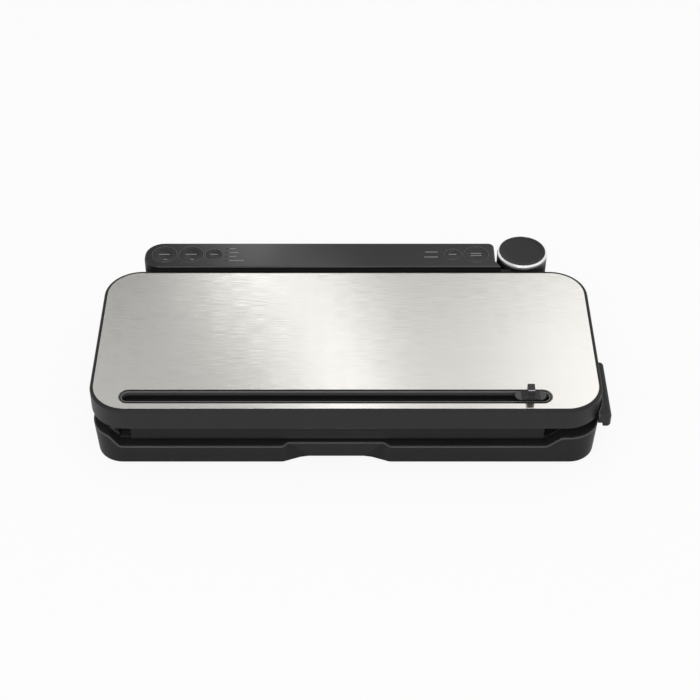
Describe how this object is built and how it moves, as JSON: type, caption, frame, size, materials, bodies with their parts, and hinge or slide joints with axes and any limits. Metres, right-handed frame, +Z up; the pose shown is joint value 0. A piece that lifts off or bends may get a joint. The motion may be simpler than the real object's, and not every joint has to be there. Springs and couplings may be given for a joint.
{
  "type": "vacuum sealer",
  "caption": "Countertop vacuum sealer with a hinged steel-topped lid, sliding bag cutter, side latch lever, rear button console and a docked hand-held vacuum head.",
  "frame": {"origin": "on the table, below the middle of the whole object", "axes": "+X to the user's right along the sealer, +Y from the front lip to the rear console, +Z up"},
  "size_m": [0.413, 0.2172, 0.0701],
  "materials": {
    "black_shell": "fine-textured black moulded plastic",
    "gloss_panel": "smooth black plastic with a soft sheen",
    "brushed_plate": "stainless sheet brushed along its length",
    "bright_ring": "bright turned metal ring",
    "plain_steel": "plain steel and zinc-plated metal",
    "rubber": "soft black or grey rubber",
    "inner_plastic": "plain moulded plastic inside the housing",
    "release_sheet": "brown coated glass cloth tape",
    "circuit_board": "green laminate board",
    "transformer_iron": "laminated iron core with windings",
    "light_lens": "clear plastic rods"
  },
  "bodies": {
    "base": {"base_tray": "black_shell", "base_deck": "black_shell", "lower_gasket": "rubber", "heat_bar": "inner_plastic", "heat_strip": "plain_steel", "release_tape": "release_sheet", "drip_tray": "inner_plastic", "vacuum_port": "inner_plastic", "hinge_pins": "plain_steel", "shaft_bushes": "inner_plastic", "console_housing": "black_shell", "control_panel": "gloss_panel", "light_pipes": "light_lens", "control_board": "circuit_board", "key_switches": "inner_plastic", "dock_tower": "black_shell", "head_hose": "rubber", "pump_motor": "plain_steel", "pump_head": "inner_plastic", "pump_bracket": "plain_steel", "pump_mounts": "rubber", "solenoid_valve": "inner_plastic", "vacuum_switch": "inner_plastic", "lid_switch": "inner_plastic", "port_tube": "rubber", "valve_tube": "rubber", "dock_tube": "rubber", "power_board": "circuit_board", "board_posts": "inner_plastic", "transformer": "transformer_iron", "cord_gland": "rubber", "rubber_feet": "rubber", "housing_screws": "plain_steel"},
    "lid": {"lid_frame": "black_shell", "lid_plate": "brushed_plate", "cutter_track": "black_shell", "lid_liner": "black_shell", "upper_gasket": "rubber", "seal_bar": "rubber", "lid_catches": "inner_plastic"},
    "cutter": {"cutter_slide": "black_shell", "cutter_blade": "plain_steel"},
    "latch": {"latch_shaft": "plain_steel", "latch_hooks": "inner_plastic", "latch_lever": "black_shell"},
    "head": {"head_body": "black_shell", "head_ring": "bright_ring", "head_cap": "gloss_panel", "head_nozzle": "rubber"},
    "rotor": {"motor_shaft": "plain_steel"},
    "vacuum_button_cap": {"vacuum_button": "gloss_panel"},
    "seal_button_cap": {"seal_button": "gloss_panel"},
    "mode_button_cap": {"mode_button": "gloss_panel"},
    "select_button_cap": {"select_button": "gloss_panel"},
    "handheld_button_cap": {"handheld_button": "gloss_panel"}
  },
  "joints": [
    {"name": "lid_hinge", "type": "hinge", "parent": "base", "child": "lid", "pos_m": [-0.0035, 0.0514, 0.054], "axis": [-1, 0, 0], "range_deg": [0, 65]},
    {"name": "latch_turn", "type": "hinge", "parent": "base", "child": "latch", "pos_m": [-0.0035, -0.0296, 0.0139], "axis": [1, 0, 0], "range_deg": [0, 6]},
    {"name": "cutter_slide_run", "type": "slide", "parent": "lid", "child": "cutter", "axis": [-1, 0, 0], "range_m": [0, 0.296]},
    {"name": "head_lift", "type": "slide", "parent": "base", "child": "head", "axis": [0, 0, 1], "range_m": [0, 0.08], "deforming": ["head_hose"]},
    {"name": "motor_spin", "type": "hinge", "parent": "base", "child": "rotor", "pos_m": [-0.0035, 0.0164, 0.0215], "axis": [1, 0, 0], "continuous": true},
    {"name": "vacuum_button_press", "type": "slide", "parent": "base", "child": "vacuum_button_cap", "axis": [0, 0, -1], "range_m": [0, 0.0008], "stiffness_N_per_m": 600, "springref_m": -0.0005},
    {"name": "seal_button_press", "type": "slide", "parent": "base", "child": "seal_button_cap", "axis": [0, 0, -1], "range_m": [0, 0.0008], "stiffness_N_per_m": 600, "springref_m": -0.0005},
    {"name": "mode_button_press", "type": "slide", "parent": "base", "child": "mode_button_cap", "axis": [0, 0, -1], "range_m": [0, 0.0008], "stiffness_N_per_m": 600, "springref_m": -0.0005},
    {"name": "select_button_press", "type": "slide", "parent": "base", "child": "select_button_cap", "axis": [0, 0, -1], "range_m": [0, 0.0008], "stiffness_N_per_m": 600, "springref_m": -0.0005},
    {"name": "handheld_button_press", "type": "slide", "parent": "base", "child": "handheld_button_cap", "axis": [0, 0, -1], "range_m": [0, 0.0008], "stiffness_N_per_m": 600, "springref_m": -0.0005}
  ]
}
